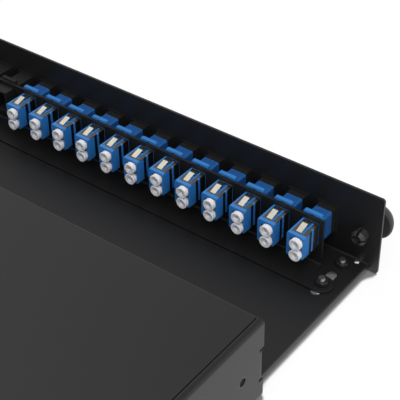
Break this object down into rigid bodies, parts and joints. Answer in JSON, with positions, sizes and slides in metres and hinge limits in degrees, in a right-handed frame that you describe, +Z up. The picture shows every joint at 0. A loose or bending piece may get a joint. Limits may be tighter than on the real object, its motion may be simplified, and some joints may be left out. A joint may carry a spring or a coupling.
{
  "type": "fibre patch panel",
  "caption": "Low rack chassis with a sliding drawer that carries a row of blue duplex fibre adapters with white dust caps on an adjustable bracket behind a windowed fascia.",
  "frame": {"origin": "middle of the chassis' front edge, on its underside", "axes": "front towards -Y, +X to the right seen from the front, +Z up; the drawer opens along -Y"},
  "size_m": [0.43, 0.3518, 0.0442],
  "materials": {
    "black_paint": "satin black powder coat",
    "zinc_steel": "bright zinc plated",
    "black_steel": "blackened steel",
    "rail_nylon": "matt black nylon",
    "gland_nylon": "matt black nylon",
    "adapter_blue": "semi-gloss blue moulding",
    "clip_steel": "bright spring steel",
    "cap_white": "soft milky plastic",
    "sleeve_ceramic": "polished zirconia",
    "blank_plastic": "matt black moulding",
    "latch_plastic": "matt black nylon"
  },
  "bodies": {
    "chassis": {"chassis_body": "black_paint", "cover_screws": "black_steel", "ear_inserts": "black_steel", "gland_body_left": "gland_nylon", "gland_body_right": "gland_nylon", "gland_cap_left": "gland_nylon", "gland_cap_right": "gland_nylon", "gland_locknut_left": "gland_nylon", "gland_locknut_right": "gland_nylon", "slide_rail_left": "rail_nylon", "slide_rail_right": "rail_nylon", "top_cover": "black_paint"},
    "drawer": {"drawer_tray": "black_paint", "earth_stud": "zinc_steel", "earth_nut": "black_steel", "latch_grommet_left": "latch_plastic", "latch_grommet_right": "latch_plastic"},
    "bracket": {"adapter_1": "adapter_blue", "adapter_10": "adapter_blue", "adapter_11": "adapter_blue", "adapter_12": "adapter_blue", "adapter_2": "adapter_blue", "adapter_3": "adapter_blue", "adapter_4": "adapter_blue", "adapter_5": "adapter_blue", "adapter_6": "adapter_blue", "adapter_7": "adapter_blue", "adapter_8": "adapter_blue", "adapter_9": "adapter_blue", "adapter_bracket": "black_paint", "adapter_clip_1": "clip_steel", "adapter_clip_10": "clip_steel", "adapter_clip_11": "clip_steel", "adapter_clip_12": "clip_steel", "adapter_clip_2": "clip_steel", "adapter_clip_3": "clip_steel", "adapter_clip_4": "clip_steel", "adapter_clip_5": "clip_steel", "adapter_clip_6": "clip_steel", "adapter_clip_7": "clip_steel", "adapter_clip_8": "clip_steel", "adapter_clip_9": "clip_steel", "alignment_sleeves": "sleeve_ceramic", "blanking_plugs": "blank_plastic", "bracket_bolts": "zinc_steel", "bracket_nuts": "black_steel", "dust_caps_1": "cap_white", "dust_caps_10": "cap_white", "dust_caps_11": "cap_white", "dust_caps_12": "cap_white", "dust_caps_2": "cap_white", "dust_caps_3": "cap_white", "dust_caps_4": "cap_white", "dust_caps_5": "cap_white", "dust_caps_6": "cap_white", "dust_caps_7": "cap_white", "dust_caps_8": "cap_white", "dust_caps_9": "cap_white"},
    "latch_left": {"latch_plunger_left": "latch_plastic"},
    "latch_right": {"latch_plunger_right": "latch_plastic"}
  },
  "joints": [
    {"name": "drawer_slide", "type": "slide", "parent": "chassis", "child": "drawer", "axis": [0, -1, 0], "range_m": [-0.093, 0.04]},
    {"name": "bracket_slide", "type": "slide", "parent": "drawer", "child": "bracket", "axis": [0, 1, 0], "range_m": [-0.0065, 0.0042]},
    {"name": "latch_left_push", "type": "slide", "parent": "drawer", "child": "latch_left", "axis": [0, 1, 0], "range_m": [0, 0.007]},
    {"name": "latch_right_push", "type": "slide", "parent": "drawer", "child": "latch_right", "axis": [0, 1, 0], "range_m": [0, 0.007]}
  ]
}
